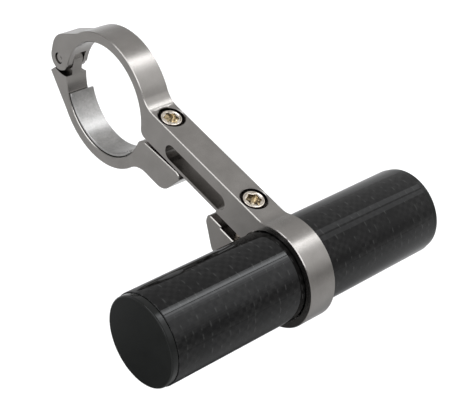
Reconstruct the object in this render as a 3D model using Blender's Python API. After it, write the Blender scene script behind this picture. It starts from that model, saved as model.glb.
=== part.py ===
# Handlebar extender: a hinged bar clamp, a slotted arm and a cross tube for lights and mounts.
# Units are metres, +Z is up. The origin is the centre of the handlebar bore, whose axis is X.
# The arm runs from the bore towards -Y, and the hinge of the clamp lies at +Y.

import math

import bmesh
import bpy
from mathutils import Matrix, Vector

MM = 0.001

# Clearances
SEAT_GAP = 0.30 * MM        # between two pieces that rest on or in each other
THREAD_GAP = 0.35 * MM      # between a screw's core and the wall of its threaded hole
SWING_GAP = 0.30 * MM       # between the ears and the shoulders that swing past them
PIN_GAP = 0.15 * MM         # running clearance of the hinge pin
BAR_GAP = 0.35 * MM         # all round a bar, before the clamp is tightened

# Handlebar bore and the ring around it
BAR_DIAMETER = 31.8 * MM
SHIM_WALL = 0.80 * MM
UPPER_WALL = 3.10 * MM
LOWER_WALL = 3.50 * MM
BODY_WIDTH = 8.90 * MM      # across X, the same for the arm and the lower jaw
EDGE_CHAMFER = 0.22 * MM

# Hinge
PIN_DIAMETER = 3.20 * MM
PIN_SETBACK = 4.40 * MM     # from the wall of the bore to the pin's axis
PIN_DROP = 0.70 * MM        # of the pin's axis below the bore's
PIN_SINK = 0.40 * MM        # of the pin's ends below the faces of the ears
EAR_RADIUS = 3.90 * MM
RELIEF_DEPTH = 1.70 * MM    # of the round recess in the far face, round the hinge
RELIEF_RADIUS = 17.5 * MM
TONGUE_WIDTH = 3.40 * MM
TONGUE_OFFSET = -0.70 * MM  # of the tongue's middle plane along X
TONGUE_SIDE_GAP = 0.30 * MM
TONGUE_TRIM = 0.03 * MM     # of the tongue's inner round past the wall of the bore, which trims it
ROOF_GAP = 0.20 * MM        # between the tongue and the roof of its slot
BLOCK_HEIGHT = 6.25 * MM    # from the pin's axis up to the block's outer corner
BLOCK_DIP = 0.73 * MM       # of the line of the block's back into the ring
BLOCK_ROUND = 7.00 * MM
SADDLE_BLEND = 6.00 * MM
SHOULDER_ROUND = 10.0 * MM  # radius of the hollow shoulders under the ears
SHOULDER_LEAN = -82.0       # direction from the pin in which they come closest, in degrees
HEEL_REACH = 2.65 * MM      # of the lower jaw's heel past the pin's axis
HEEL_DROP = 6.45 * MM       # of the heel below the pin's axis
HEEL_DIP = 0.12 * MM        # of the line that runs up to the heel into the jaw's strap
HEEL_BLEND = 9.00 * MM

# Arm
ARM_BOTTOM = 1.40 * MM      # above the bore's axis
ARM_HEIGHT = 9.80 * MM
REACH = 75.80 * MM          # from the bore's axis to the tube's, along Y
TUBE_DROP = 1.10 * MM       # of the tube's axis below the bore's
RING_BLEND = 7.00 * MM
BAND_BLEND = 6.00 * MM
ARM_CORNER = 2.50 * MM      # round between the bore and the arm's underside
WINDOW_HEIGHT = 4.90 * MM
WINDOW_LIFT = 3.65 * MM     # of the window's middle above the arm's underside
WINDOW_TO_CLAMP_SCREW = 4.70 * MM
WINDOW_TO_TUBE_SCREW = 5.20 * MM

# Pad of the lower jaw under the arm
CLAMP_GAP = 1.10 * MM       # under the arm, at the clamp screw's axis
CLAMP_GAP_TAPER = 3.4       # degrees, narrowing towards the pad's nose
PAD_DEPTH = 9.40 * MM
PAD_LENGTH = 12.64 * MM     # from the clamp screw's axis to the corner at the pad's tip
PAD_NOSE_SLOPE = 119.5      # direction of the nose under that corner, in degrees
PAD_NOSE_ROUND = 5.00 * MM
PAD_TIP_ROUND = 2.00 * MM   # over the corner, up to the pad's top
PAD_TIP_END = 168.0         # direction in which that round ends, in degrees
PAD_CORNER = 3.00 * MM
PAD_BLEND = 8.00 * MM

# Tube, band and lug
TUBE_DIAMETER = 25.4 * MM
TUBE_WALL = 1.50 * MM
TUBE_LENGTH = 94.2 * MM
BAND_WALL = 1.95 * MM
SPLIT_WIDTH = 3.90 * MM
LUG_LENGTH = 10.0 * MM      # from the tube screw's axis to the lug's nose
SPLIT_STEP = 0.60 * MM      # of the arm's underside over the split
SPLIT_STEP_LENGTH = 7.70 * MM   # from the tube screw's axis
LIP_HEIGHT = 0.70 * MM      # of the raised lip at the lug's nose
LIP_LENGTH = 5.70 * MM
LIP_ROUND = 1.30 * MM
LUG_DEPTH = 9.70 * MM
LUG_NOSE_SLOPE = 235.0      # direction of the lug's lower flank, in degrees
LUG_NOSE_HEIGHT = 2.10 * MM
LUG_ROUND = 1.40 * MM
LUG_HEEL_ROUND = 4.00 * MM
LUG_BLEND = 5.00 * MM

# Screws
SCREW_CORE_DIAMETER = 3.40 * MM
SCREW_HOLE_DIAMETER = 4.50 * MM
HEAD_DIAMETER = 7.00 * MM
HEAD_HEIGHT = 4.00 * MM
HEAD_SINK = 0.60 * MM       # of the head's top below the arm's top
HEAD_CLEARANCE = 0.37 * MM
HEAD_CHAMFER = 0.50 * MM
SOCKET_RADIUS = 1.92 * MM   # mean radius of the six-lobed socket
SOCKET_LOBE = 0.30 * MM
SOCKET_DEPTH = 2.20 * MM
MOUTH_CHAMFER = 0.25 * MM
CLAMP_SCREW_LENGTH = 12.0 * MM
TUBE_SCREW_LENGTH = 16.0 * MM
CLAMP_SCREW_SETBACK = 6.00 * MM     # from the wall of the handlebar bore to the screw's axis
TUBE_SCREW_SETBACK = 3.80 * MM      # from the wall of the band's bore to the screw's axis

# Shim
SHIM_START = -31.5          # degrees round the bore, from +Y towards +Z
SHIM_END = -151.0
SHIM_INSET = 0.30 * MM      # of its edges from the arm's faces
SHIM_CHAMFER = 0.12 * MM

# End caps
CAP_FLANGE = 1.85 * MM
CAP_INSET = 0.30 * MM       # of the flange's rim from the tube's outside
CAP_EDGE = 0.45 * MM
CAP_PLUG_LENGTH = 8.00 * MM
CAP_WALL = 1.60 * MM
CAP_JOINT = 0.12 * MM       # between the flange and the tube's end

# Facets
ARC_STEP = 3.0              # degrees for each facet of an outline
ROUND_STEPS = 96
SMALL_STEPS = 40
SMOOTH_ANGLE = 28.0

# Sizes that follow from the ones above
BORE_RADIUS = BAR_DIAMETER / 2 + BAR_GAP + SHIM_WALL + SEAT_GAP
UPPER_RADIUS = BORE_RADIUS + UPPER_WALL
LOWER_RADIUS = BORE_RADIUS + LOWER_WALL
HALF_WIDTH = BODY_WIDTH / 2
RELIEF_FACE = HALF_WIDTH - RELIEF_DEPTH
ORIGIN = (0.0, 0.0)
PIN_AXIS = (BORE_RADIUS + PIN_SETBACK, -PIN_DROP)
ARM_TOP = ARM_BOTTOM + ARM_HEIGHT
TUBE_AXIS = (-REACH, -TUBE_DROP)
TUBE_RADIUS = TUBE_DIAMETER / 2
BAND_BORE = TUBE_RADIUS + SEAT_GAP
BAND_RADIUS = BAND_BORE + BAND_WALL
CLAMP_SCREW_Y = -(BORE_RADIUS + CLAMP_SCREW_SETBACK)
TUBE_SCREW_Y = TUBE_AXIS[0] + BAND_BORE + TUBE_SCREW_SETBACK
PAD_TOP = (CLAMP_SCREW_Y, ARM_BOTTOM - CLAMP_GAP)
PAD_BOTTOM = PAD_TOP[1] - PAD_DEPTH
LUG_TOP = ARM_BOTTOM - SPLIT_WIDTH
LUG_BOTTOM = LUG_TOP - LUG_DEPTH
HEAD_SEAT = ARM_TOP - HEAD_SINK - HEAD_HEIGHT
CORE_RADIUS = SCREW_CORE_DIAMETER / 2
THREAD_RADIUS = CORE_RADIUS + THREAD_GAP
TONGUE_LOW = TONGUE_OFFSET - TONGUE_WIDTH / 2
TONGUE_HIGH = TONGUE_OFFSET + TONGUE_WIDTH / 2
TONGUE_SHIFT = PIN_SETBACK - EAR_RADIUS + TONGUE_TRIM
TONGUE_MIDDLE = (PIN_AXIS[0] - TONGUE_SHIFT, PIN_AXIS[1] + TONGUE_SHIFT)
OVERRUN = 2.0 * MM          # of a cutter past the face that it cuts


# Outlines in the side view: points are (y, z)

def heading(degrees):
    return Vector((math.cos(math.radians(degrees)), math.sin(math.radians(degrees))))


def on_circle(center, radius, degrees):
    point = Vector(center) + heading(degrees) * radius
    return (point.x, point.y)


def arc(center, radius, start, end):
    count = max(2, math.ceil(abs(end - start) / ARC_STEP))
    return [on_circle(center, radius, start + (end - start) * i / count) for i in range(count + 1)]


def direction_of(center, point):
    return math.degrees(math.atan2(point[1] - center[1], point[0] - center[0]))


def short_arc(center, radius, first, last):
    # The arc of less than half a turn between two points of a circle.
    start = direction_of(center, first)
    turn = (direction_of(center, last) - start + 180.0) % 360.0 - 180.0
    return arc(center, radius, start, start + turn)


def blend(center, radius, through, degrees, size, left, ahead):
    # The arc that joins a straight line to a circle, from the line's end to the circle's.
    # It lies to the left or right of the line, outside the circle, and touches both.
    along = heading(degrees)
    side = Vector((-along.y, along.x)) * (1 if left else -1)
    start = Vector(through) + side * size - Vector(center)
    half = start.dot(along)
    root = math.sqrt(half * half - start.dot(start) + (radius + size) ** 2)
    middle = Vector(center) + start + along * (-half + (root if ahead else -root))
    on_line = middle - side * size
    on_round = Vector(center) + (middle - Vector(center)) * radius / (radius + size)
    return short_arc(middle, size, on_line, on_round)


def corner(before, point, after, size):
    # The arc that rounds a corner between two straight stretches.
    point = Vector(point)
    back = (Vector(before) - point).normalized()
    on = (Vector(after) - point).normalized()
    half = back.angle(on) / 2
    middle = point + (back + on).normalized() * size / math.sin(half)
    reach = size / math.tan(half)
    return short_arc(middle, size, point + back * reach, point + on * reach)


def line_crossing(first, first_degrees, second, second_degrees):
    a = heading(first_degrees)
    b = heading(second_degrees)
    gap = Vector(second) - Vector(first)
    reach = (gap.x * b.y - gap.y * b.x) / (a.x * b.y - a.y * b.x)
    point = Vector(first) + a * reach
    return (point.x, point.y)


def grazing(point, radius):
    # The angle at a point between the lines to the middle of a circle about the bore and past its edge.
    return math.degrees(math.asin(radius / Vector(point).length))


def bore_crossing(center, radius):
    # The direction from a circle's middle to the upper of the two points where it crosses the bore.
    span = Vector(center).length
    along = (span * span + radius * radius - BORE_RADIUS * BORE_RADIUS) / (2 * span)
    return direction_of(center, ORIGIN) % 360.0 - math.degrees(math.acos(min(1.0, along / radius)))


def at_height(start, degrees, height):
    return line_crossing(start, degrees, (0.0, height), 0.0)


# Meshes and objects

def material(name, colour, roughness, metallic):
    made = bpy.data.materials.new(name)
    made.use_nodes = True
    shader = made.node_tree.nodes["Principled BSDF"]
    shader.inputs["Base Color"].default_value = (*colour, 1.0)
    shader.inputs["Roughness"].default_value = roughness
    shader.inputs["Metallic"].default_value = metallic
    made.diffuse_color = (*colour, 1.0)
    return made


def new_object(name, mesh_data, finish=None):
    mesh = bpy.data.meshes.new(name)
    mesh_data.to_mesh(mesh)
    mesh_data.free()
    made = bpy.data.objects.new(name, mesh)
    bpy.context.scene.collection.objects.link(made)
    if finish:
        mesh.materials.append(finish)
        mesh.shade_smooth()
        mesh.set_sharp_from_angle(angle=math.radians(SMOOTH_ANGLE))
    return made


def prism_mesh(outline, low, high, chamfer=0.0):
    # An outline of the side view, given its width along X and a chamfer round both faces.
    mesh_data = bmesh.new()
    face = mesh_data.faces.new([mesh_data.verts.new((low, y, z)) for y, z in outline])
    raised = bmesh.ops.extrude_face_region(mesh_data, geom=[face])["geom"]
    verts = [item for item in raised if isinstance(item, bmesh.types.BMVert)]
    bmesh.ops.translate(mesh_data, vec=(high - low, 0.0, 0.0), verts=verts)
    bmesh.ops.recalc_face_normals(mesh_data, faces=mesh_data.faces)
    if chamfer:
        rims = [edge for edge in mesh_data.edges if edge.verts[0].co.x == edge.verts[1].co.x]
        bmesh.ops.bevel(mesh_data, geom=rims, offset=chamfer, segments=1, affect="EDGES")
    return mesh_data


def turned_mesh(profile, place, axis, steps, closed=False):
    # A profile of (radius, height) pairs turned about an axis that passes through a place.
    mesh_data = bmesh.new()
    verts = [mesh_data.verts.new((radius, 0.0, height)) for radius, height in profile]
    pairs = list(zip(verts, verts[1:]))
    if closed:
        pairs.append((verts[-1], verts[0]))
    edges = [mesh_data.edges.new(pair) for pair in pairs]
    bmesh.ops.spin(mesh_data, geom=verts + edges, cent=(0, 0, 0), axis=(0, 0, 1),
                   angle=2 * math.pi, steps=steps, use_merge=True)
    bmesh.ops.remove_doubles(mesh_data, verts=mesh_data.verts, dist=0.001 * MM)
    bmesh.ops.recalc_face_normals(mesh_data, faces=mesh_data.faces)
    turn = Vector((0, 0, 1)).rotation_difference(Vector(axis)).to_matrix().to_4x4()
    bmesh.ops.transform(mesh_data, matrix=Matrix.Translation(place) @ turn, verts=mesh_data.verts)
    return mesh_data


def rod_mesh(radius, low, high, place, axis, steps):
    return turned_mesh([(0, low), (radius, low), (radius, high), (0, high)], place, axis, steps)


def cut(piece, name, mesh_data):
    cutter = new_object(f"cut_{name}", mesh_data)
    cutter.hide_render = True
    cutter.display_type = "WIRE"
    cutting = piece.modifiers.new(name, "BOOLEAN")
    cutting.operation = "DIFFERENCE"
    cutting.solver = "EXACT"
    cutting.object = cutter


def set_origin(piece, point):
    piece.data.transform(Matrix.Translation(-Vector(point)))
    piece.location = point


def attach(piece, parent):
    bpy.context.view_layer.update()
    piece.parent = parent
    piece.matrix_parent_inverse = parent.matrix_world.inverted()


def side(point, x=0.0):
    return (x, point[0], point[1])


# Arm: upper half of the bar clamp, slotted beam, and the split band round the tube

def block_corner():
    return (PIN_AXIS[0] + EAR_RADIUS, PIN_AXIS[1] + BLOCK_HEIGHT)


def clamp_ring_outline():
    # From the bottom of the ear, round its outside and over the ring to the arm's top.
    outer = block_corner()
    slope = direction_of(ORIGIN, outer) + 180.0 - grazing(outer, UPPER_RADIUS - BLOCK_DIP)
    back = on_circle(outer, BLOCK_ROUND, slope)
    saddle = blend(ORIGIN, UPPER_RADIUS, outer, slope, SADDLE_BLEND, False, False)
    shoulder = blend(ORIGIN, UPPER_RADIUS, (0.0, ARM_TOP), 180.0, RING_BLEND, False, True)
    ear_side = (outer[0], PIN_AXIS[1])
    over = arc(ORIGIN, UPPER_RADIUS, direction_of(ORIGIN, saddle[-1]), direction_of(ORIGIN, shoulder[-1]))
    return (arc(PIN_AXIS, EAR_RADIUS, -172.0, 0.0) + corner(ear_side, outer, back, BLOCK_ROUND)
            + saddle + over[1:-1] + shoulder[::-1])


def band_outline():
    # From the arm's top, round the tube and along the lug to its nose.
    flare = blend(TUBE_AXIS, BAND_RADIUS, (0.0, ARM_TOP), 180.0, BAND_BLEND, False, False)
    hollow = blend(TUBE_AXIS, BAND_RADIUS, (0.0, LUG_BOTTOM), 0.0, LUG_BLEND, False, True)
    start = direction_of(TUBE_AXIS, flare[-1])
    end = direction_of(TUBE_AXIS, hollow[-1]) + 360.0
    around = arc(TUBE_AXIS, BAND_RADIUS, start, end)
    nose = (TUBE_SCREW_Y + LUG_LENGTH, LUG_TOP - LUG_NOSE_HEIGHT)
    heel = at_height(nose, LUG_NOSE_SLOPE, LUG_BOTTOM)
    under = corner(hollow[0], heel, nose, LUG_HEEL_ROUND)
    return flare + around[1:-1] + hollow[::-1] + under + corner(heel, nose, (nose[0], LUG_TOP), LUG_ROUND)


def split_outline():
    # Over the lip at the lug's nose, into the split and back out under the arm.
    nose = TUBE_SCREW_Y + LUG_LENGTH
    lip = LUG_TOP + LIP_HEIGHT
    lip_end = nose - LIP_LENGTH
    inner = TUBE_AXIS[0] + BAND_BORE - OVERRUN
    roof = ARM_BOTTOM - SPLIT_STEP
    step = TUBE_SCREW_Y + SPLIT_STEP_LENGTH
    over = corner((nose, LUG_TOP - LUG_NOSE_HEIGHT), (nose, lip), (lip_end, lip), LIP_ROUND)
    floor = [(lip_end, lip), (lip_end, LUG_TOP), (inner, LUG_TOP)]
    return over + floor + [(inner, roof), (step, roof), (step, ARM_BOTTOM)]


def bore_outline():
    # From the arm's underside into the bore and round it to the ear.
    mouth = blend(ORIGIN, BORE_RADIUS, (0.0, ARM_BOTTOM), 180.0, ARM_CORNER, False, True)
    start = direction_of(ORIGIN, mouth[-1])
    return mouth + arc(ORIGIN, BORE_RADIUS, start, -2.0)[1:]


def screw_hole_mesh(y, low):
    # Counterbore for the head with a chamfered mouth, and the hole below it.
    head = HEAD_DIAMETER / 2 + HEAD_CLEARANCE
    seat = HEAD_SEAT - SEAT_GAP
    hole = SCREW_HOLE_DIAMETER / 2
    rise = 10 * OVERRUN
    profile = [(0, low), (hole, low), (hole, seat), (head, seat), (head, ARM_TOP - MOUTH_CHAMFER),
               (head + MOUTH_CHAMFER, ARM_TOP), (head + MOUTH_CHAMFER + OVERRUN, ARM_TOP + OVERRUN),
               (head + MOUTH_CHAMFER + OVERRUN, ARM_TOP + rise), (0, ARM_TOP + rise)]
    return turned_mesh(profile, (0, y, 0), (0, 0, 1), ROUND_STEPS // 2)


def relief_mesh():
    # Round recess with a sloping wall in the far face, centred on the hinge.
    rise = RELIEF_DEPTH + OVERRUN
    profile = [(0, RELIEF_FACE), (RELIEF_RADIUS, RELIEF_FACE),
               (RELIEF_RADIUS + rise, RELIEF_FACE + rise), (0, RELIEF_FACE + rise)]
    return turned_mesh(profile, side(PIN_AXIS), (1, 0, 0), ROUND_STEPS)


def window_mesh():
    half = WINDOW_HEIGHT / 2
    height = ARM_BOTTOM + WINDOW_LIFT
    near = (CLAMP_SCREW_Y - WINDOW_TO_CLAMP_SCREW - half, height)
    far = (TUBE_SCREW_Y + WINDOW_TO_TUBE_SCREW + half, height)
    outline = arc(near, half, -90.0, 90.0) + arc(far, half, 90.0, 270.0)
    return prism_mesh(outline, -HALF_WIDTH - OVERRUN, HALF_WIDTH + OVERRUN)


def pin_hole_mesh():
    reach = HALF_WIDTH + OVERRUN
    return rod_mesh(PIN_DIAMETER / 2 + PIN_GAP, -reach, reach, side(PIN_AXIS), (1, 0, 0), SMALL_STEPS)


def rectangle(y_low, y_high, z_low, z_high):
    return [(y_low, z_low), (y_high, z_low), (y_high, z_high), (y_low, z_high)]


def make_arm(finish):
    outline = clamp_ring_outline() + band_outline() + split_outline() + bore_outline()
    arm = new_object("arm", prism_mesh(outline, -HALF_WIDTH, HALF_WIDTH, EDGE_CHAMFER), finish)
    reach = HALF_WIDTH + OVERRUN
    cut(arm, "hinge_relief", relief_mesh())
    cut(arm, "band_bore", rod_mesh(BAND_BORE, -reach, reach, side(TUBE_AXIS), (1, 0, 0), ROUND_STEPS))
    cut(arm, "window", window_mesh())
    cut(arm, "clamp_screw_hole", screw_hole_mesh(CLAMP_SCREW_Y, ARM_BOTTOM - OVERRUN))
    cut(arm, "tube_screw_hole", screw_hole_mesh(TUBE_SCREW_Y, (ARM_BOTTOM + LUG_TOP) / 2))
    lug_hole = rod_mesh(THREAD_RADIUS, LUG_BOTTOM - OVERRUN, (ARM_BOTTOM + LUG_TOP) / 2,
                        (0, TUBE_SCREW_Y, 0), (0, 0, 1), SMALL_STEPS)
    cut(arm, "lug_hole", lug_hole)
    slot_top = TONGUE_MIDDLE[1] + EAR_RADIUS + ROOF_GAP
    slot = rectangle(BORE_RADIUS - 2 * OVERRUN, PIN_AXIS[0] + 2 * EAR_RADIUS,
                     PIN_AXIS[1] - 2 * EAR_RADIUS, slot_top)
    cut(arm, "clevis", prism_mesh(slot, TONGUE_LOW - TONGUE_SIDE_GAP, TONGUE_HIGH + TONGUE_SIDE_GAP))
    cut(arm, "pin_hole", pin_hole_mesh())
    return arm


# Lower jaw: curved strap with the tongue at one end and the threaded pad at the other

def heel_point():
    return (PIN_AXIS[0] + HEEL_REACH, PIN_AXIS[1] - HEEL_DROP)


def pad_tip():
    # The round at the end of the pad, from the corner up to the line of the pad's top.
    top_normal = heading(90.0 - CLAMP_GAP_TAPER)
    across = -PAD_LENGTH - PAD_TIP_ROUND * heading(PAD_TIP_END).x
    down = (PAD_TIP_ROUND + across * top_normal.x) / top_normal.y
    middle = (PAD_TOP[0] + across, PAD_TOP[1] - down)
    return arc(middle, PAD_TIP_ROUND, PAD_TIP_END, 90.0 - CLAMP_GAP_TAPER)


def lower_jaw_outline():
    heel = heel_point()
    flush = bore_crossing(TONGUE_MIDDLE, EAR_RADIUS)
    tongue = arc(PIN_AXIS, EAR_RADIUS, -8.0, 45.0) + arc(TONGUE_MIDDLE, EAR_RADIUS, 45.0, flush)
    slope = direction_of(ORIGIN, heel) + 180.0 + grazing(heel, LOWER_RADIUS - HEEL_DIP)
    root = blend(ORIGIN, LOWER_RADIUS, heel, slope, HEEL_BLEND, True, False)
    hollow = blend(ORIGIN, LOWER_RADIUS, (0.0, PAD_BOTTOM), 180.0, PAD_BLEND, True, True)
    strap = arc(ORIGIN, LOWER_RADIUS, direction_of(ORIGIN, root[-1]), direction_of(ORIGIN, hollow[-1]))
    tip = pad_tip()
    toe = at_height(tip[0], PAD_NOSE_SLOPE, PAD_BOTTOM)
    mouth = blend(ORIGIN, BORE_RADIUS, PAD_TOP, 180.0 - CLAMP_GAP_TAPER, PAD_CORNER, True, True)
    nose = corner(hollow[0], toe, tip[0], PAD_NOSE_ROUND) + tip
    start = direction_of(ORIGIN, mouth[-1])
    bore = arc(ORIGIN, BORE_RADIUS, start, direction_of(ORIGIN, tongue[-1]))
    return tongue[::-1] + [heel] + root + strap[1:-1] + hollow[::-1] + nose + mouth + bore[1:-1]


def shoulder_mesh(low, high):
    # The space beside the tongue, where one of the arm's ears goes.
    heel = heel_point()
    lift = SHOULDER_ROUND - EAR_RADIUS - SWING_GAP
    middle = on_circle(PIN_AXIS, lift, SHOULDER_LEAN + 180.0)
    hollow = arc(middle, SHOULDER_ROUND, -140.0, -80.0)
    below = on_circle(heel, 2 * OVERRUN, direction_of(hollow[-1], heel))
    far = PIN_AXIS[0] + 2 * EAR_RADIUS
    top = PIN_AXIS[1] + 2 * EAR_RADIUS
    outline = hollow + [below, (far, below[1]), (far, top), (hollow[0][0], top)]
    return prism_mesh(outline, low, high)


def make_lower_jaw(finish):
    mesh_data = prism_mesh(lower_jaw_outline(), -HALF_WIDTH, HALF_WIDTH, EDGE_CHAMFER)
    jaw = new_object("lower_jaw", mesh_data, finish)
    cut(jaw, "near_shoulder", shoulder_mesh(-HALF_WIDTH - OVERRUN, TONGUE_LOW))
    cut(jaw, "far_shoulder", shoulder_mesh(TONGUE_HIGH, HALF_WIDTH + OVERRUN))
    cut(jaw, "jaw_relief", relief_mesh())
    cut(jaw, "jaw_pin_hole", pin_hole_mesh())
    thread = rod_mesh(THREAD_RADIUS, PAD_BOTTOM - OVERRUN, ARM_BOTTOM + OVERRUN,
                      (0, CLAMP_SCREW_Y, 0), (0, 0, 1), SMALL_STEPS)
    cut(jaw, "pad_thread", thread)
    set_origin(jaw, side(PIN_AXIS))
    return jaw


def make_shim(finish, jaw):
    outer = BORE_RADIUS - SEAT_GAP
    inner = outer - SHIM_WALL
    outline = arc(ORIGIN, outer, SHIM_START, SHIM_END) + arc(ORIGIN, inner, SHIM_END, SHIM_START)
    half = HALF_WIDTH - SHIM_INSET
    shim = new_object("jaw_shim", prism_mesh(outline, -half, half, SHIM_CHAMFER), finish)
    set_origin(shim, side(PIN_AXIS))
    attach(shim, jaw)


def make_pin(finish):
    radius = PIN_DIAMETER / 2
    low = -HALF_WIDTH + PIN_SINK
    high = RELIEF_FACE - PIN_SINK
    edge = EDGE_CHAMFER
    profile = [(0, low), (radius - edge, low), (radius, low + edge),
               (radius, high - edge), (radius - edge, high), (0, high)]
    new_object("hinge_pin", turned_mesh(profile, side(PIN_AXIS), (1, 0, 0), SMALL_STEPS), finish)


# Screws

def socket_mesh(y):
    count = 2 * SMALL_STEPS
    mesh_data = bmesh.new()
    low = HEAD_SEAT + HEAD_HEIGHT - SOCKET_DEPTH
    verts = []
    for i in range(count):
        turn = 2 * math.pi * i / count
        radius = SOCKET_RADIUS + SOCKET_LOBE * math.cos(6 * turn)
        verts.append(mesh_data.verts.new((radius * math.cos(turn), y + radius * math.sin(turn), low)))
    face = mesh_data.faces.new(verts)
    raised = bmesh.ops.extrude_face_region(mesh_data, geom=[face])["geom"]
    top = [item for item in raised if isinstance(item, bmesh.types.BMVert)]
    bmesh.ops.translate(mesh_data, vec=(0, 0, SOCKET_DEPTH + OVERRUN), verts=top)
    bmesh.ops.recalc_face_normals(mesh_data, faces=mesh_data.faces)
    return mesh_data


def make_screw(name, y, length, finish):
    head = HEAD_DIAMETER / 2
    top = HEAD_SEAT + HEAD_HEIGHT
    tip = HEAD_SEAT - length
    point = CORE_RADIUS / 3
    profile = [(0, tip), (CORE_RADIUS - point, tip), (CORE_RADIUS, tip + point), (CORE_RADIUS, HEAD_SEAT),
               (head, HEAD_SEAT), (head, top - HEAD_CHAMFER), (head - HEAD_CHAMFER, top), (0, top)]
    screw = new_object(name, turned_mesh(profile, (0, y, 0), (0, 0, 1), ROUND_STEPS // 2), finish)
    cut(screw, f"{name}_socket", socket_mesh(y))
    set_origin(screw, (0, y, HEAD_SEAT))


# Tube and its end caps

def make_tube(finish):
    half = TUBE_LENGTH / 2
    inner = TUBE_RADIUS - TUBE_WALL
    profile = [(inner, -half), (TUBE_RADIUS, -half), (TUBE_RADIUS, half), (inner, half)]
    tube = new_object("carbon_tube", turned_mesh(profile, (0, 0, 0), (1, 0, 0), ROUND_STEPS, True), finish)
    tube.location = side(TUBE_AXIS)
    return tube


def make_cap(name, facing, finish, tube):
    # A cup that plugs the tube, with a flange against the tube's end.
    seat = TUBE_LENGTH / 2 + CAP_JOINT
    face = seat + CAP_FLANGE
    flange = TUBE_RADIUS - CAP_INSET
    plug = TUBE_RADIUS - TUBE_WALL - SEAT_GAP
    end = seat - CAP_PLUG_LENGTH
    profile = [(0, face), (flange - CAP_EDGE, face), (flange, face - CAP_EDGE), (flange, seat), (plug, seat),
               (plug, end), (plug - CAP_WALL, end), (plug - CAP_WALL, seat), (0, seat)]
    place = side(TUBE_AXIS)
    cap = new_object(name, turned_mesh(profile, place, (facing, 0, 0), ROUND_STEPS), finish)
    set_origin(cap, place)
    attach(cap, tube)


def main():
    for old in list(bpy.data.objects):
        bpy.data.objects.remove(old, do_unlink=True)
    titanium = material("grey_anodised", (0.215, 0.203, 0.192), 0.36, 1.0)
    silver = material("bare_aluminium", (0.52, 0.52, 0.52), 0.30, 1.0)
    steel = material("warm_steel", (0.60, 0.55, 0.46), 0.25, 1.0)
    carbon = material("clear_coated_carbon", (0.021, 0.021, 0.022), 0.16, 0.0)
    plastic = material("matte_black_plastic", (0.020, 0.021, 0.020), 0.48, 0.0)
    make_arm(titanium)
    jaw = make_lower_jaw(titanium)
    make_shim(silver, jaw)
    make_pin(titanium)
    make_screw("clamp_screw", CLAMP_SCREW_Y, CLAMP_SCREW_LENGTH, steel)
    make_screw("tube_screw", TUBE_SCREW_Y, TUBE_SCREW_LENGTH, steel)
    tube = make_tube(carbon)
    make_cap("end_cap_left", -1, plastic, tube)
    make_cap("end_cap_right", 1, plastic, tube)


main()
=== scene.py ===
# Looks for the handlebar extender: an anodised arm and hinged jaw, a silver shim, two six-lobe
# screws and a carbon cross tube with its caps. Everything is in metres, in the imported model's frame.

import math

import bpy
from mathutils import Matrix, Vector


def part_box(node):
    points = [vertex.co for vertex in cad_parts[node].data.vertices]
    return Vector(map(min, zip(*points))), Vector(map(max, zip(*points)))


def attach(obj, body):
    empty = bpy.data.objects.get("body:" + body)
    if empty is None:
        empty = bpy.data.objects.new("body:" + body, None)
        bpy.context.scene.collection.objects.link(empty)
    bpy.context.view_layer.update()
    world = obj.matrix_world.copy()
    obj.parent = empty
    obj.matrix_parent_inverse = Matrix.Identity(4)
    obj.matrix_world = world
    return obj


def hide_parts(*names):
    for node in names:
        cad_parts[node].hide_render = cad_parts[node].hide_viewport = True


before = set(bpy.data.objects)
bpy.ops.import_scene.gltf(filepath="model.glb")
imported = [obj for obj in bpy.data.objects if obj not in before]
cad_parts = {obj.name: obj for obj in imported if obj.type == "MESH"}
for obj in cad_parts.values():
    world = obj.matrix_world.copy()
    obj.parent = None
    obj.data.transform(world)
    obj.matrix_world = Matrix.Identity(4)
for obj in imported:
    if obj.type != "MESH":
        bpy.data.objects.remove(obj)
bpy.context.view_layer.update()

mm = 0.001
quarterTurn = math.pi / 2
near = 0.005 * mm               # places closer than this count as the same
mergeWithin = 0.001 * mm        # corners closer than this become one
squareOn = 0.9999               # a face whose normal has this much of an axis is square to it
sharpEdge = math.radians(60)    # faces turned this far apart meet in a sharp edge; milled chamfers don't


# General helpers

def onlyActive(piece):
    bpy.ops.object.select_all(action="DESELECT")
    piece.select_set(True)
    bpy.context.view_layer.objects.active = piece


def editStart(piece, mode):
    # The piece is left with nothing selected; mode is VERT, EDGE or FACE.
    onlyActive(piece)
    bpy.ops.object.mode_set(mode="EDIT")
    bpy.ops.mesh.select_mode(type=mode)
    bpy.ops.mesh.select_all(action="DESELECT")
    bpy.ops.object.mode_set(mode="OBJECT")


def editAll(piece):
    # Edit mode with everything selected.
    onlyActive(piece)
    bpy.ops.object.mode_set(mode="EDIT")
    bpy.ops.mesh.select_all(action="SELECT")


def leaveEdit():
    bpy.ops.object.mode_set(mode="OBJECT")


def pickFaces(piece, test):
    # Faces whose middle and normal pass the test are selected, and edit mode is left on.
    editStart(piece, "FACE")
    for face in piece.data.polygons:
        face.select = test(face.center, face.normal)
    bpy.ops.object.mode_set(mode="EDIT")


def pickEdges(piece, test):
    # Edges whose two ends both pass the test are selected, and edit mode is left on.
    editStart(piece, "EDGE")
    verts = piece.data.vertices
    for edge in piece.data.edges:
        edge.select = all(test(verts[i].co) for i in edge.vertices)
    bpy.ops.object.mode_set(mode="EDIT")


def pickVerts(piece, test):
    editStart(piece, "VERT")
    for vert in piece.data.vertices:
        vert.select = test(vert.co)
    bpy.ops.object.mode_set(mode="EDIT")


def closeTo(first, second):
    return abs(first - second) < near


def applyPlace(piece):
    onlyActive(piece)
    bpy.ops.object.transform_apply(location=True, rotation=True, scale=True)


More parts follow.
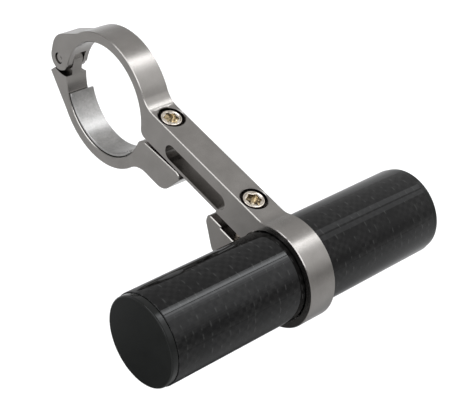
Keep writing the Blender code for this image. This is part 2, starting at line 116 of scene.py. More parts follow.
def addCylinder(sides, radius, depth, place, lying=False, **settings):
    # Upright, or lying along X.
    bpy.ops.object.select_all(action="DESELECT")
    turn = (0.0, quarterTurn if lying else 0.0, 0.0)
    bpy.ops.mesh.primitive_cylinder_add(vertices=sides, radius=radius, depth=depth, location=place,
                                        rotation=turn, **settings)
    made = bpy.context.active_object
    applyPlace(made)
    return made


def addModifier(piece, kind, **settings):
    added = piece.modifiers.new(kind.title(), kind)
    for key, value in settings.items():
        setattr(added, key, value)
    return added


def applyModifiers(piece):
    onlyActive(piece)
    for modifier in list(piece.modifiers):
        bpy.ops.object.modifier_apply(modifier=modifier.name)


def breakEdges(piece, width, steps, **settings):
    addModifier(piece, "BEVEL", width=width, segments=steps, limit_method="ANGLE",
                angle_limit=sharpEdge, **settings)
    applyModifiers(piece)


def smooth(piece, degrees):
    onlyActive(piece)
    bpy.ops.object.shade_smooth_by_angle(angle=math.radians(degrees))


def outward(piece):
    # Doubles are merged and normals turned outwards.
    editAll(piece)
    bpy.ops.mesh.remove_doubles(threshold=mergeWithin)
    bpy.ops.mesh.normals_make_consistent(inside=False)
    leaveEdit()


def cutAway(piece, cutter):
    addModifier(piece, "BOOLEAN", operation="DIFFERENCE", solver="EXACT", object=cutter)
    applyModifiers(piece)
    bpy.data.objects.remove(cutter, do_unlink=True)


def joinTo(piece, other):
    onlyActive(piece)
    other.select_set(True)
    bpy.ops.object.join()


def finishPiece(piece, name, body, nodes, slot, *finishes):
    piece.name = name
    piece.data.name = name
    piece.data.materials.clear()
    for finish in finishes:
        piece.data.materials.append(finish)
    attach(piece, body)
    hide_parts(*nodes)


# Material helpers

def newMaterial(name):
    made = bpy.data.materials.new(name)
    made.use_nodes = True
    return made, made.node_tree, made.node_tree.nodes["Principled BSDF"]


def addNode(tree, kind, inputs=None, **settings):
    node = tree.nodes.new(kind)
    for key, value in settings.items():
        setattr(node, key, value)
    for key, value in (inputs or {}).items():
        node.inputs[key].default_value = value
    return node


def putIn(tree, value, socket):
    # What another node gives is linked; a colour or a number is set.
    if isinstance(value, bpy.types.NodeSocket):
        tree.links.new(value, socket)
    elif isinstance(value, tuple):
        socket.default_value = (*value, 1.0)
    else:
        socket.default_value = value


def even(count):
    return (count, count, count)


def noiseField(tree, stretch, scale, detail, rough):
    # Noise on the piece's own coordinates; stretch is the Mapping node's scale.
    place = addNode(tree, "ShaderNodeTexCoord")
    mapped = addNode(tree, "ShaderNodeMapping", {"Scale": stretch})
    noise = addNode(tree, "ShaderNodeTexNoise", {"Scale": scale, "Detail": detail, "Roughness": rough})
    tree.links.new(place.outputs["Object"], mapped.inputs["Vector"])
    tree.links.new(mapped.outputs["Vector"], noise.inputs["Vector"])
    return noise.outputs["Fac"]


def toRange(tree, value, low, high, fromLow=0.3, fromHigh=0.7):
    node = addNode(tree, "ShaderNodeMapRange", {"From Min": fromLow, "From Max": fromHigh,
                                                "To Min": low, "To Max": high})
    tree.links.new(value, node.inputs["Value"])
    return node.outputs["Result"]


def colourMix(tree, share, first, second):
    node = addNode(tree, "ShaderNodeMix", data_type="RGBA")
    for slot, value in ((0, share), (6, first), (7, second)):
        putIn(tree, value, node.inputs[slot])
    return node.outputs[2]


def mathNode(tree, operation, first, second=0.0):
    node = addNode(tree, "ShaderNodeMath", operation=operation)
    putIn(tree, first, node.inputs[0])
    putIn(tree, second, node.inputs[1])
    return node.outputs["Value"]


def bumpFrom(tree, height, strength, distance, base=None):
    node = addNode(tree, "ShaderNodeBump", {"Strength": strength, "Distance": distance})
    tree.links.new(height, node.inputs["Height"])
    if base:
        tree.links.new(base, node.inputs["Normal"])
    return node.outputs["Normal"]


# In the finishes below, a noise is given by its stretch along each axis, its scale, detail and
# roughness, a bump by its strength and height, and a span by the part of a noise that it opens out.

# Anodised aluminium of the arm, the jaw and the pin

anodised = {
    "pale": (0.232, 0.220, 0.209),
    "deep": (0.196, 0.186, 0.176),
    "roughness": (0.20, 0.26),
    "cloud": (even(60), 3.0, 4.0, 0.60),
    "lines": ((12, 1600, 1600), 1.0, 3.0, 0.55),    # the cutter's lines across the outline
    "lineBump": (0.13, 0.02 * mm),
    "waves": ((5, 420, 420), 1.0, 1.0, 0.50),       # the broader ones under them
    "waveBump": (0.07, 0.10 * mm),
    "grain": (even(3200), 1.0, 1.0, 0.50),          # the fine blasted grain
    "grainBump": (0.015, 0.02 * mm),
}


def anodisedMaterial(name, settings):
    made, tree, shader = newMaterial(name)
    shader.inputs["Metallic"].default_value = 1.0
    cloud = noiseField(tree, *settings["cloud"])
    tone = colourMix(tree, toRange(tree, cloud, 0.0, 1.0), settings["deep"], settings["pale"])
    tree.links.new(tone, shader.inputs["Base Color"])
    tree.links.new(toRange(tree, cloud, *settings["roughness"]), shader.inputs["Roughness"])
    broad = bumpFrom(tree, noiseField(tree, *settings["waves"]), *settings["waveBump"])
    milled = bumpFrom(tree, noiseField(tree, *settings["lines"]), *settings["lineBump"], broad)
    grainy = bumpFrom(tree, noiseField(tree, *settings["grain"]), *settings["grainBump"], milled)
    tree.links.new(grainy, shader.inputs["Normal"])
    return made


# Bare silver aluminium of the shim

silver = {
    "pale": (0.330, 0.323, 0.315),
    "deep": (0.236, 0.232, 0.227),
    "roughness": (0.30, 0.42),
    "cloud": (even(120), 3.0, 5.0, 0.60),
    "mottle": (even(1500), 1.0, 3.0, 0.70),
    "mottleShare": 0.35,        # how much of the tone comes from the fine mottling
    "toneSpan": (0.38, 0.62),
    "lines": ((2600, 60, 60), 1.0, 2.0, 0.50),      # left by the rolls
    "lineBump": (0.10, 0.02 * mm),
}


def silverMaterial(name, settings):
    made, tree, shader = newMaterial(name)
    shader.inputs["Metallic"].default_value = 1.0
    cloud = noiseField(tree, *settings["cloud"])
    mottle = noiseField(tree, *settings["mottle"])
    share = settings["mottleShare"]
    blend = mathNode(tree, "ADD", mathNode(tree, "MULTIPLY", cloud, 1.0 - share),
                     mathNode(tree, "MULTIPLY", mottle, share))
    tone = colourMix(tree, toRange(tree, blend, 0.0, 1.0, *settings["toneSpan"]),
                     settings["deep"], settings["pale"])
    tree.links.new(tone, shader.inputs["Base Color"])
    tree.links.new(toRange(tree, cloud, *settings["roughness"]), shader.inputs["Roughness"])
    rolled = bumpFrom(tree, noiseField(tree, *settings["lines"]), *settings["lineBump"])
    tree.links.new(rolled, shader.inputs["Normal"])
    return made


# Screw steel, with the socket's warmer plating, whose near-black deep tone is painted shade of the socket's
# walls

steel = {
    "pale": (0.62, 0.565, 0.50),
    "deep": (0.40, 0.36, 0.31),
    "roughness": (0.12, 0.22),
    "socketPale": (0.74, 0.66, 0.52),
    # near black: painted shade of the socket's walls, mixed in at random with the plating
    "socketDeepShade": (0.05, 0.036, 0.02),
    "socketRoughness": (0.10, 0.20),
    "cloud": (even(700), 1.0, 4.0, 0.60),
    "toneSpan": (0.38, 0.62),
    "grain": (even(4000), 1.0, 1.0, 0.50),
    "grainBump": (0.06, 0.02 * mm),
}


def steelMaterial(name, settings, pale, deep, roughness):
    made, tree, shader = newMaterial(name)
    shader.inputs["Metallic"].default_value = 1.0
    cloud = noiseField(tree, *settings["cloud"])
    tone = colourMix(tree, toRange(tree, cloud, 0.0, 1.0, *settings["toneSpan"]), deep, pale)
    tree.links.new(tone, shader.inputs["Base Color"])
    tree.links.new(toRange(tree, cloud, *roughness), shader.inputs["Roughness"])
    grainy = bumpFrom(tree, noiseField(tree, *settings["grain"]), *settings["grainBump"])
    tree.links.new(grainy, shader.inputs["Normal"])
    return made


# Clear-coated carbon cloth of the cross tube. The tube's own map runs round it and along it.

carbonCloth = {
    "tow": (0.0008, 0.0008, 0.0009),        # colour of the darker tows
    "crossTow": (0.0072, 0.0071, 0.0070),   # and of the ones that run across them
    "paintedGlint": (0.0230, 0.0228, 0.0226),       # painted highlight, where a tow catches the light at its edge
    "roughness": (0.38, 0.55),
    "cellsRound": 30,
    "cellsAlong": 34,
    "wander": 0.30,             # how far the tows stray round the tube, in cells
    "wanderAlong": 0.60,        # share of that along it
    "wanderNoise": (even(90), 1.0, 2.0, 0.50),
    "checkSpan": (-0.45, 0.45),
    "patches": (even(170), 1.0, 3.0, 0.60),
    "patchSpan": (0.35, 0.65),
    "patchLeast": 0.10,
    "glintAlong": (0.02, 0.12),  # a tick fades between these shares of a cell from its edge
    "glintRound": (0.10, 0.32),
    "glintSpots": (even(420), 1.0, 2.0, 0.60),
    "glintSpan": (0.45, 0.62),
    "coatWeight": 0.47,
    "coatRoughness": 0.04,
    "coatIor": 1.50,
}


def carbonMaterial(name, settings):
    made, tree, shader = newMaterial(name)
    place = addNode(tree, "ShaderNodeTexCoord")
    split = addNode(tree, "ShaderNodeSeparateXYZ")
    tree.links.new(place.outputs["UV"], split.inputs["Vector"])
    stray = settings["wander"]
    wander = toRange(tree, noiseField(tree, *settings["wanderNoise"]), -stray, stray)
    around = mathNode(tree, "MULTIPLY", split.outputs["X"], float(settings["cellsRound"]))
    around = mathNode(tree, "ADD", around, wander)
    along = mathNode(tree, "MULTIPLY", split.outputs["Y"], float(settings["cellsAlong"]))
    along = mathNode(tree, "ADD", along, mathNode(tree, "MULTIPLY", wander, settings["wanderAlong"]))
    # Soft checks: the product of a wave round the tube and one along it.
    waveRound = mathNode(tree, "SINE", mathNode(tree, "MULTIPLY", around, 2 * math.pi))
    waveAlong = mathNode(tree, "SINE", mathNode(tree, "MULTIPLY", along, 2 * math.pi))
    product = mathNode(tree, "MULTIPLY", waveRound, waveAlong)
    checks = toRange(tree, product, 0.0, 1.0, *settings["checkSpan"])
    patches = noiseField(tree, *settings["patches"])
    faded = toRange(tree, patches, settings["patchLeast"], 1.0, *settings["patchSpan"])
    patchy = mathNode(tree, "MULTIPLY", checks, faded)
    cloth = colourMix(tree, patchy, settings["tow"], settings["crossTow"])
    # A short painted highlight stands where one tow dives under the next and catches the light.
    fromEdge = mathNode(tree, "PINGPONG", along, 0.5)
    edge = toRange(tree, fromEdge, 1.0, 0.0, *settings["glintAlong"])
    fromEnd = mathNode(tree, "PINGPONG", mathNode(tree, "ADD", around, 0.25), 0.5)
    short = toRange(tree, fromEnd, 0.0, 1.0, *settings["glintRound"])
    spotty = toRange(tree, noiseField(tree, *settings["glintSpots"]), 0.0, 1.0, *settings["glintSpan"])
    paintedGlint = mathNode(tree, "MULTIPLY", mathNode(tree, "MULTIPLY", edge, short), spotty)
    tree.links.new(colourMix(tree, paintedGlint, cloth, settings["paintedGlint"]), shader.inputs["Base Color"])
    tree.links.new(toRange(tree, checks, *settings["roughness"], 0.0, 1.0), shader.inputs["Roughness"])
    shader.inputs["Specular IOR Level"].default_value = 0.0
    shader.inputs["Coat Weight"].default_value = settings["coatWeight"]
    shader.inputs["Coat Roughness"].default_value = settings["coatRoughness"]
    shader.inputs["Coat IOR"].default_value = settings["coatIor"]
    return made


# Moulded plastic of the caps, matt on the face and polished by the mould at the rim

moulded = {
    "pale": (0.0068, 0.0074, 0.0069),
    "deep": (0.0050, 0.0055, 0.0051),
    "faceRoughness": (0.40, 0.52),
    "faceIor": 1.20,
    "rimRoughness": (0.10, 0.20),
    "rimIor": 1.28,
    "cloud": (even(300), 1.0, 4.0, 0.60),
    "grain": (even(2200), 1.0, 2.0, 0.50),
    "grainBump": (0.12, 0.03 * mm),
}


def plasticMaterial(name, settings, roughness, ior):
    made, tree, shader = newMaterial(name)
    cloud = noiseField(tree, *settings["cloud"])
    tone = colourMix(tree, toRange(tree, cloud, 0.0, 1.0), settings["deep"], settings["pale"])
    tree.links.new(tone, shader.inputs["Base Color"])
    tree.links.new(toRange(tree, cloud, *roughness), shader.inputs["Roughness"])
    grainy = bumpFrom(tree, noiseField(tree, *settings["grain"]), *settings["grainBump"])
    tree.links.new(grainy, shader.inputs["Normal"])
    shader.inputs["IOR"].default_value = ior
    return made


anodisedGrey = anodisedMaterial("anodisedGrey", anodised)
shimSilver = silverMaterial("shimSilver", silver)
screwSteel = steelMaterial("screwSteel", steel, steel["pale"], steel["deep"], steel["roughness"])
socketPlatingAndShade = steelMaterial("socketPlatingAndShade", steel, steel["socketPale"], steel["socketDeepShade"],
                             steel["socketRoughness"])
carbonGloss = carbonMaterial("carbonGloss", carbonCloth)
capPlastic = plasticMaterial("capPlastic", moulded, moulded["faceRoughness"], moulded["faceIor"])
capRim = plasticMaterial("capRim", moulded, moulded["rimRoughness"], moulded["rimIor"])
print("materials made")


# Arm, jaw and shim: the machined forms of the frame, merged, with their edges broken

machined = {
    "edgeBreak": {"arm": 0.10 * mm, "lower_jaw": 0.06 * mm, "jaw_shim": 0.05 * mm},
    "edgeSteps": 2,
    "flatWithin": 0.4,      # degrees; facets that differ less are one flat face
    "smoothBelow": 28.0,
    "faceWeight": 80,       # how much the large faces lead the shading
}


def machinedCopy(node, settings):
    made = bpy.data.objects.new("machinedCopy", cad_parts[node].data.copy())
    bpy.context.scene.collection.objects.link(made)
    outward(made)
    editAll(made)
    bpy.ops.mesh.dissolve_limited(angle_limit=math.radians(settings["flatWithin"]))
    leaveEdit()
    breakEdges(made, settings["edgeBreak"][node], settings["edgeSteps"],
               miter_outer="MITER_ARC", use_clamp_overlap=True)
    smooth(made, settings["smoothBelow"])
    addModifier(made, "WEIGHTED_NORMAL", keep_sharp=True, weight=settings["faceWeight"])
    applyModifiers(made)
    return made


arm = machinedCopy("arm", machined)
finishPiece(arm, "machinedArm", "arm_body", ["arm"], "grey_anodised", anodisedGrey)
jaw = machinedCopy("lower_jaw", machined)
finishPiece(jaw, "machinedJaw", "jaw_body", ["lower_jaw"], "grey_anodised", anodisedGrey)
shim = machinedCopy("jaw_shim", machined)
finishPiece(shim, "silverShim", "jaw_body", ["jaw_shim"], "bare_aluminium", shimSilver)
print("arm, jaw and shim done")


# Hinge pin: a plain pin with a turned face at each end

pin = {
    "sides": 64,
    "radius": 1.60 * mm,
    "edgeBreak": 0.20 * mm,
    "edgeSteps": 4,
    "rimShare": 0.45,       # of the radius, left flat at each end's rim
    "slopeShare": 0.12,     # of the radius, for the slope into the dish
    "dish": 0.12 * mm,      # how far the middle of each end is turned down
    "smoothBelow": 35.0,
}


def makePin(settings):
    low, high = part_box("hinge_pin")
    made = addCylinder(settings["sides"], settings["radius"], high.x - low.x, (low + high) / 2, lying=True)
    for end, way in ((low.x, 1), (high.x, -1)):
        pickFaces(made, lambda center, normal: abs(normal.x) > squareOn and closeTo(center.x, end))
        bpy.ops.mesh.inset(thickness=settings["radius"] * settings["rimShare"])
        bpy.ops.mesh.inset(thickness=settings["radius"] * settings["slopeShare"])
        bpy.ops.transform.translate(value=(way * settings["dish"], 0.0, 0.0))
        leaveEdit()
    breakEdges(made, settings["edgeBreak"], settings["edgeSteps"])
    smooth(made, settings["smoothBelow"])
    return made


hingePin = makePin(pin)
finishPiece(hingePin, "turnedPin", "arm_body", ["hinge_pin"], "grey_anodised", anodisedGrey)
print("pin done")


# Screws: head with a six-lobe socket, shank and cut thread

screw = {
    "headSides": 120,
    "headRadius": 3.08 * mm,
    "headHeight": 4.00 * mm,
    "headRise": 0.34 * mm,      # of the head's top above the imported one's
    "headRound": 0.30 * mm,
    "roundSteps": 6,
    "ringWidth": 0.10 * mm,     # of the bright ring inside the rounded edge
    "dishWidth": 0.16 * mm,     # of the slope from that ring down to the face round the socket
    "dishDepth": 0.18 * mm,
    "lobes": 6,
    "socketOuter": 2.74 * mm,   # control radius of the lobes
    "socketInner": 1.60 * mm,   # and of the hollows between them
    "socketReach": 2.32 * mm,   # all of the socket stands within this radius
    "socketDepth": 2.20 * mm,
    "socketSteps": 3,           # of the subdivision that rounds the lobes
    "cutterAbove": 2.00 * mm,   # how far the cutter stands out of the head
    "coneSides": 48,
    "coneDepth": 0.55 * mm,     # of the cone at the socket's floor
    "coneTip": 0.12 * mm,
    "coneRadius": 1.30 * mm,
    "coneAbove": 0.50 * mm,     # how far the cone's cutter stands above the floor
    "platingAndShadeBelow": 0.30 * mm,   # depth from which the socket shows its plating and its painted shade
    "rimBreak": 0.10 * mm,
    "rimSteps": 2,
    "smoothBelow": 32.0,
    "rootRadius": 1.66 * mm,
    "crestRadius": 1.97 * mm,
    "pitch": 0.70 * mm,
    "rootSink": 0.06 * mm,      # how far the ridge is sunk in the shank
    "rootShare": 0.94,          # of half the pitch, taken by the ridge at its root
    "crestShare": 0.14,         # and at its crest
    "turnSteps": 36,
    "ridgeSmoothBelow": 50.0,
    "plainNeck": 1.60 * mm,     # between the head and the start of the thread
    "tip": 0.60 * mm,
    "tipShare": 0.62,           # of the shank's radius, left at the tip
}


def lobedCutter(y, top, settings):
    # A prism with every second corner drawn in, rounded by subdivision.
    depth = settings["socketDepth"] + settings["cutterAbove"]
    low = top - settings["socketDepth"]
    corners = 2 * settings["lobes"]
    made = addCylinder(corners, settings["socketOuter"], depth, (0.0, y, low + depth / 2))
    cornerOf = lambda point: round(math.atan2(point.y - y, point.x) / (2 * math.pi) * corners)
    pickVerts(made, lambda point: cornerOf(point) % 2 == 0)
    shrink = settings["socketInner"] / settings["socketOuter"]
    bpy.ops.transform.resize(value=(shrink, shrink, 1.0))
    leaveEdit()
    for level in (low, low + depth):
        pickEdges(made, lambda point: closeTo(point.z, level))
        bpy.ops.transform.edge_crease(value=1.0)
        leaveEdit()
    addModifier(made, "SUBSURF", levels=settings["socketSteps"], render_levels=settings["socketSteps"])
    applyModifiers(made)
    return made


def floorCone(y, top, settings):
    # The point that the forming tool leaves in the middle of the socket's floor.
    depth = settings["coneDepth"] + settings["coneAbove"]
    place = top - settings["socketDepth"] - settings["coneDepth"] + depth / 2
    bpy.ops.object.select_all(action="DESELECT")
    bpy.ops.mesh.primitive_cone_add(vertices=settings["coneSides"], radius1=settings["coneTip"],
                                    radius2=settings["coneRadius"], depth=depth, location=(0.0, y, place))
    made = bpy.context.active_object
    applyPlace(made)
    return made


def threadRidge(y, low, high, settings):
    # One ridge's outline swept up a helix by the Screw modifier, then closed at both ends.
    bpy.ops.object.select_all(action="DESELECT")
    bpy.ops.mesh.primitive_circle_add(vertices=4, radius=1.0, fill_type="NOTHING")
    made = bpy.context.active_object
    root = settings["rootRadius"] - settings["rootSink"]
    half = settings["pitch"] / 2
    rootHalf = half * settings["rootShare"]
    crestHalf = half * settings["crestShare"]
    corners = ((root, -rootHalf), (settings["crestRadius"], -crestHalf),
               (settings["crestRadius"], crestHalf), (root, rootHalf))
    for vert, (radius, height) in zip(made.data.vertices, corners):
        vert.co = (radius, 0.0, height)
    turns = max(1, int((high - low) / settings["pitch"]) - 1)
    addModifier(made, "SCREW", axis="Z", angle=2 * math.pi, screw_offset=settings["pitch"],
                iterations=turns, steps=settings["turnSteps"], render_steps=settings["turnSteps"],
                use_merge_vertices=True, merge_threshold=mergeWithin)
    applyModifiers(made)
    made.location = (0.0, y, low + half)
    applyPlace(made)
    editStart(made, "EDGE")
    bpy.ops.object.mode_set(mode="EDIT")
    bpy.ops.mesh.select_non_manifold()
    bpy.ops.mesh.fill_holes(sides=0)
    leaveEdit()
    outward(made)
    smooth(made, settings["ridgeSmoothBelow"])
    return made


def makeScrew(node, settings):
    low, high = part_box(node)
    y = (low.y + high.y) / 2
    top = high.z + settings["headRise"]
    seat = high.z - settings["headHeight"]
    face = top - settings["dishDepth"]
    head = addCylinder(settings["headSides"], settings["headRadius"], top - seat,
                       (0.0, y, (top + seat) / 2))
    pickEdges(head, lambda point: closeTo(point.z, top))
    bpy.ops.mesh.bevel(offset=settings["headRound"], segments=settings["roundSteps"])
    leaveEdit()
    pickFaces(head, lambda center, normal: normal.z > squareOn and closeTo(center.z, top))
    bpy.ops.mesh.inset(thickness=settings["ringWidth"])
    bpy.ops.mesh.inset(thickness=settings["dishWidth"], depth=-settings["dishDepth"])
    leaveEdit()
    # The shank is drawn out of the underside of the head.
    pickFaces(head, lambda center, normal: normal.z < -squareOn and closeTo(center.z, seat))
    bpy.ops.mesh.inset(thickness=settings["headRadius"] - settings["rootRadius"])
    bpy.ops.mesh.extrude_region_move(
        TRANSFORM_OT_translate={"value": (0.0, 0.0, low.z + settings["tip"] - seat)})
    bpy.ops.mesh.extrude_region_move(TRANSFORM_OT_translate={"value": (0.0, 0.0, -settings["tip"])})
    bpy.ops.transform.resize(value=(settings["tipShare"], settings["tipShare"], 1.0))
    leaveEdit()
    cutAway(head, lobedCutter(y, top, settings))
    cutAway(head, floorCone(y, top, settings))
    inSocket = lambda point: (point.z > seat + near
                              and math.hypot(point.x, point.y - y) < settings["socketReach"])
    pickEdges(head, lambda point: inSocket(point) and closeTo(point.z, face))
    bpy.ops.mesh.bevel(offset=settings["rimBreak"], segments=settings["rimSteps"])
    leaveEdit()
    smooth(head, settings["smoothBelow"])
    joinTo(head, threadRidge(y, low.z + settings["tip"] / 2, seat - settings["plainNeck"], settings))
    finishPiece(head, "sixLobe" + node.title().replace("_", ""), node + "_body", [node], "warm_steel",
                screwSteel, socketPlatingAndShade)
    # Faces deep in the socket get the warm plating with its painted shade.
    for facet in head.data.polygons:
        platedAndShaded = inSocket(facet.center) and facet.center.z < top - settings["platingAndShadeBelow"]
        facet.material_index = 1 if platedAndShaded else 0


makeScrew("clamp_screw", screw)
makeScrew("tube_screw", screw)
print("screws done")


# Cross tube

tube = {
    "sides": 288,
    "radius": 12.70 * mm,
    "wall": 1.50 * mm,
    "edgeBreak": 0.18 * mm,
    "edgeSteps": 3,
    "smoothBelow": 40.0,
}


def makeTube(settings):
    low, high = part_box("carbon_tube")
    made = addCylinder(settings["sides"], settings["radius"], high.x - low.x, (low + high) / 2, lying=True,
                       end_fill_type="NOTHING", calc_uvs=True)
    addModifier(made, "SOLIDIFY", thickness=settings["wall"], offset=-1.0, use_even_offset=True)
    breakEdges(made, settings["edgeBreak"], settings["edgeSteps"])
    smooth(made, settings["smoothBelow"])
    return made


carbonTube = makeTube(tube)
finishPiece(carbonTube, "carbonTube", "tube_body", ["carbon_tube"], "carbon", carbonGloss)
print("tube done")


# End caps: a flange with a rounded rim, and the cup behind it that plugs the tube

cap = {
    "sides": 192,
    "flangeRadius": 12.40 * mm,
    "flange": 1.85 * mm,
    "rimRound": 0.50 * mm,
    "rimSteps": 6,
    "rimBelow": 0.97,       # the rim's finish stops where a normal has this much of X
    "plugRadius": 10.90 * mm,
    "plugLength": 7.90 * mm,
    "plugWall": 1.60 * mm,
    "plugFloor": 0.40 * mm,     # how far the cup's floor stands behind the flange
    "ribs": 12,                 # crush ribs round the plug
    "ribWidth": 2.5,            # degrees of the plug's side
    "ribStart": 0.50 * mm,      # clear of the flange
    "ribSlope": 0.05 * mm,
    "ribHeight": 0.16 * mm,
    "smoothBelow": 32.0,
}


def makeCap(node, facing, settings):
    low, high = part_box(node)
    face = high.x if facing > 0 else low.x
    seat = face - facing * settings["flange"]
    middle = (low + high) / 2
    made = addCylinder(settings["sides"], settings["flangeRadius"], settings["flange"],
                       ((face + seat) / 2, middle.y, middle.z), lying=True)
    pickEdges(made, lambda point: closeTo(point.x, face))
    bpy.ops.mesh.bevel(offset=settings["rimRound"], segments=settings["rimSteps"])
    leaveEdit()
    pickFaces(made, lambda center, normal: normal.x * facing < -squareOn and closeTo(center.x, seat))
    bpy.ops.mesh.inset(thickness=settings["flangeRadius"] - settings["plugRadius"])
    bpy.ops.mesh.extrude_region_move(
        TRANSFORM_OT_translate={"value": (-facing * settings["plugLength"], 0.0, 0.0)})
    bpy.ops.mesh.inset(thickness=settings["plugWall"])
    cupDepth = settings["plugLength"] - settings["plugFloor"]
    bpy.ops.mesh.extrude_region_move(TRANSFORM_OT_translate={"value": (facing * cupDepth, 0.0, 0.0)})
    leaveEdit()
    # Crush ribs: narrow strips of the plug's side, drawn out a little.
    ribStep = 2 * math.pi / settings["ribs"]
    ribTurn = math.radians(settings["ribWidth"])

    def onRib(center, normal):
        radius = math.hypot(center.y - middle.y, center.z - middle.z)
        turn = math.atan2(center.z - middle.z, center.y - middle.y) % ribStep
        behindSeat = (seat - center.x) * facing
        return (radius > settings["plugRadius"] - settings["ribSlope"]
                and behindSeat > settings["ribStart"] and turn < ribTurn)

    pickFaces(made, onRib)
    bpy.ops.mesh.inset(thickness=settings["ribSlope"], use_individual=False)
    bpy.ops.transform.shrink_fatten(value=settings["ribHeight"])
    leaveEdit()
    outward(made)
    smooth(made, settings["smoothBelow"])
    return made


def finishCap(made, name, node, settings):
    finishPiece(made, name, "tube_body", [node], "cap_plastic", capPlastic, capRim)
    low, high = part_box(node)
    middle = (low + high) / 2
    for facet in made.data.polygons:
        radius = math.hypot(facet.center.y - middle.y, facet.center.z - middle.z)
        onRim = (radius > settings["flangeRadius"] - settings["rimRound"]
                 and abs(facet.normal.x) < settings["rimBelow"])
        facet.material_index = 1 if onRim else 0


leftCap = makeCap("end_cap_left", -1, cap)
finishCap(leftCap, "leftCap", "end_cap_left", cap)
rightCap = makeCap("end_cap_right", 1, cap)
finishCap(rightCap, "rightCap", "end_cap_right", cap)
print("caps done")


# Floor, lights and camera

studio = {
    "floorHeight": -63.0 * mm,
    "floorSize": 12.0,
    "floorColour": (0.80, 0.80, 0.80),
    "floorGlow": 0.22,      # what the floor adds for the camera and for reflections
    "worldStrength": 0.90,
    # A painted shadow of the tube on the floor, which only reflections show: its middle, half its size, and
    # how bright the floor is at a share of that size from the middle.
    "shadeMiddle": (-0.053, -0.063),
    "shadeTurn": -22.0,
    "shadeSize": (0.120, 0.032),
    "shadeSteps": ((0.40, 0.08), (0.80, 0.36), (1.15, 0.58), (1.60, 0.70), (2.00, 0.75)),
    # Brightness of the walls in reflections, by the direction in the side view in degrees, from +Y
    # over the top to -Y.
    "wallSteps": ((0, 0.80), (25, 0.82), (40, 0.96), (60, 1.00), (130, 1.00), (145, 0.84), (155, 0.66),
                  (168, 0.66), (178, 0.92), (180, 0.96)),
}


def rampFrom(tree, value, steps):
    # A grey ramp through the given steps, whose last place is where it ends.
    node = addNode(tree, "ShaderNodeValToRGB")
    reach = steps[-1][0]
    stops = node.color_ramp.elements
    while len(stops) < len(steps):
        stops.new(1.0)
    for stop, (place, shade) in zip(stops, steps):
        stop.position = place / reach
        stop.color = (shade, shade, shade, 1.0)
    tree.links.new(mathNode(tree, "DIVIDE", value, reach), node.inputs["Fac"])
    return node.outputs["Color"]


def directRay(tree, path):
    # 1 for what the camera sees, directly or in a reflection, and 0 for light on its way to a piece.
    seen = mathNode(tree, "MAXIMUM", path.outputs["Is Camera Ray"], path.outputs["Is Glossy Ray"])
    return mathNode(tree, "MAXIMUM", seen, path.outputs["Is Transmission Ray"])


def floorPaintAndShadow(settings):
    made, tree, shader = newMaterial("paleFloorWithPaintedShadow")
    shader.inputs["Base Color"].default_value = (*settings["floorColour"], 1.0)
    shader.inputs["Roughness"].default_value = 1.0
    shader.inputs["Specular IOR Level"].default_value = 0.0
    path = addNode(tree, "ShaderNodeLightPath")
    glow = mathNode(tree, "MULTIPLY", directRay(tree, path), settings["floorGlow"])
    tree.links.new(glow, shader.inputs["Emission Strength"])
    shader.inputs["Emission Color"].default_value = (1.0, 1.0, 1.0, 1.0)
    # How far a point is from the shade's middle, as a share of the shade's size.
    where = addNode(tree, "ShaderNodeTexCoord")
    centred = addNode(tree, "ShaderNodeMapping", {
        "Location": (*settings["shadeMiddle"], 0.0),
        "Rotation": (0.0, 0.0, math.radians(settings["shadeTurn"])),
        "Scale": (*settings["shadeSize"], 1.0)}, vector_type="TEXTURE")
    flat = addNode(tree, "ShaderNodeVectorMath", {1: (1.0, 1.0, 0.0)}, operation="MULTIPLY")
    length = addNode(tree, "ShaderNodeVectorMath", operation="LENGTH")
    tree.links.new(where.outputs["Object"], centred.inputs["Vector"])
    tree.links.new(centred.outputs["Vector"], flat.inputs[0])
    tree.links.new(flat.outputs["Vector"], length.inputs[0])
    shade = rampFrom(tree, length.outputs["Value"], settings["shadeSteps"])
    # Reflections see the floor darkened by this painted shadow; the camera and the lamps don't.
    dim = mathNode(tree, "MULTIPLY", path.outputs["Is Glossy Ray"], mathNode(tree, "SUBTRACT", 1.0, shade))
    shadowPaint = addNode(tree, "ShaderNodeEmission", {"Strength": 0.0})
    mix = addNode(tree, "ShaderNodeMixShader")
    tree.links.new(dim, mix.inputs["Fac"])
    tree.links.new(shader.outputs["BSDF"], mix.inputs[1])
    tree.links.new(shadowPaint.outputs["Emission"], mix.inputs[2])
    tree.links.new(mix.outputs["Shader"], tree.nodes["Material Output"].inputs["Surface"])
    return made


def makeFloor(settings):
    bpy.ops.object.select_all(action="DESELECT")
    bpy.ops.mesh.primitive_plane_add(size=settings["floorSize"],
                                     location=(0.0, 0.0, settings["floorHeight"]))
    made = bpy.context.active_object
    made.name = "paleFloor"
    applyPlace(made)
    made.data.materials.append(floorPaintAndShadow(settings))


def makeWorld(settings):
    world = bpy.data.worlds.new("studioWorld")
    bpy.context.scene.world = world
    world.use_nodes = True
    tree = world.node_tree
    background = tree.nodes["Background"]
    path = addNode(tree, "ShaderNodeLightPath")
    strength = toRange(tree, directRay(tree, path), settings["worldStrength"], 1.0, 0.0, 1.0)
    tree.links.new(strength, background.inputs["Strength"])
    where = addNode(tree, "ShaderNodeTexCoord")
    split = addNode(tree, "ShaderNodeSeparateXYZ")
    tree.links.new(where.outputs["Generated"], split.inputs["Vector"])
    turn = mathNode(tree, "ARCTAN2", split.outputs["Z"], split.outputs["Y"])
    walls = rampFrom(tree, turn, [(math.radians(angle), shade) for angle, shade in settings["wallSteps"]])
    colour = colourMix(tree, path.outputs["Is Glossy Ray"], (1.0, 1.0, 1.0), walls)
    tree.links.new(colour, background.inputs["Color"])


makeFloor(studio)
makeWorld(studio)

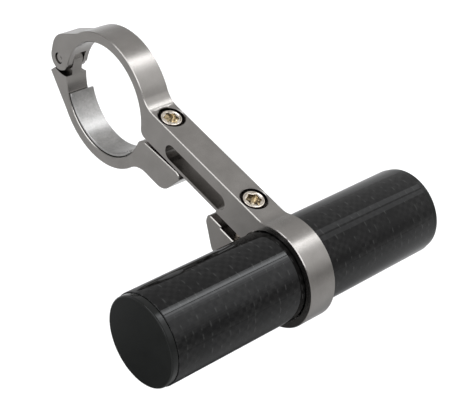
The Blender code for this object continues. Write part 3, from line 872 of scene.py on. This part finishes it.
# Boxes over the object. Each is given by the two directions in the side view between which it stands,
# from +Y towards +Z, and by its brightness. A row's lean says how far its two sides stand to +X for
# each unit of distance. Narrow gaps part the bright ones.
lights = {
    "colour": (0.96, 0.985, 1.01),      # daylight-white, a little cooler than the walls
    "aim": (0.0, -0.03, 0.0),
    "distance": 2.0,
    "middleLean": (0.24, 0.83),
    "middleRow": (("softEdgeBox", 79.0, 82.5, 2.8), ("paleBox", 82.5, 85.2, 4.6), ("farBox", 85.2, 90.3, 7.2),
                  ("innerBox", 91.8, 96.5, 4.8), ("middleBox", 96.5, 101.5, 2.4),
                  ("nearBox", 101.5, 107.0, 1.6), ("lowBox", 107.0, 116.0, 1.0),
                  ("lowerBox", 116.0, 128.0, 0.88), ("dimBox", 128.0, 135.0, 0.74),
                  ("dimmerBox", 135.0, 141.0, 0.54), ("faintBox", 141.0, 147.0, 0.34),
                  ("lastBox", 147.0, 153.0, 0.16)),
    "rightLean": (0.83, 2.00),
    "rightRow": (("rightBox", 67.0, 82.0, 0.9), ("lowRightBox", 86.5, 100.0, 0.7)),
    # A box at the left lights the milled chamfers and the rims of the holes.
    "leftPlace": (-1.60, 0.12, 1.10),
    "leftSize": (0.62, 2.40),
    "leftRadiance": 4.2,
}


def softbox(name, place, size, radiance, aim, settings):
    # The power follows from the brightness that its face should have.
    light = bpy.data.lights.new(name, "AREA")
    light.color = settings["colour"]
    light.shape = "RECTANGLE"
    light.size, light.size_y = size
    light.energy = radiance * math.pi * size[0] * size[1]
    made = bpy.data.objects.new(name, light)
    bpy.context.scene.collection.objects.link(made)
    made.location = place
    away = Vector(place) - Vector(aim)
    side = Vector((0.0, 1.0, 0.0)).cross(away).normalized()
    up = away.cross(side).normalized()
    made.rotation_euler = Matrix((side, up, away.normalized())).transposed().to_euler()


def overheadBox(name, first, last, radiance, lean, settings):
    middle = math.radians((first + last) / 2)
    distance = settings["distance"]
    aimY = settings["aim"][1]
    aside = distance * (lean[0] + lean[1]) / 2
    size = (distance * (lean[1] - lean[0]), 2 * distance * math.tan(math.radians(last - first) / 2))
    place = (aside, distance * math.cos(middle) + aimY, distance * math.sin(middle))
    softbox(name, place, size, radiance, (aside, aimY, 0.0), settings)


for box in lights["middleRow"]:
    overheadBox(*box, lights["middleLean"], lights)
for box in lights["rightRow"]:
    overheadBox(*box, lights["rightLean"], lights)
softbox("leftBox", lights["leftPlace"], lights["leftSize"], lights["leftRadiance"], lights["aim"], lights)

camera = {
    "place": (-0.205360, -0.206525, 0.240800),
    "turn": (44.84517, -14.22981, -41.71649),
    "lens": 98.122,
    "sensorWidth": 36.0,
    "shift": (-0.06369, 0.04246),
    "clipStart": 0.01,
}
lensData = bpy.data.cameras.new("productCamera")
lensData.lens = camera["lens"]
lensData.sensor_width = camera["sensorWidth"]
lensData.sensor_fit = "HORIZONTAL"
lensData.shift_x, lensData.shift_y = camera["shift"]
lensData.clip_start = camera["clipStart"]
productCamera = bpy.data.objects.new("productCamera", lensData)
bpy.context.scene.collection.objects.link(productCamera)
productCamera.location = camera["place"]
productCamera.rotation_euler = [math.radians(angle) for angle in camera["turn"]]
bpy.context.scene.camera = productCamera
bpy.context.scene.view_settings.view_transform = "Standard"
print("stage, lights and camera done")
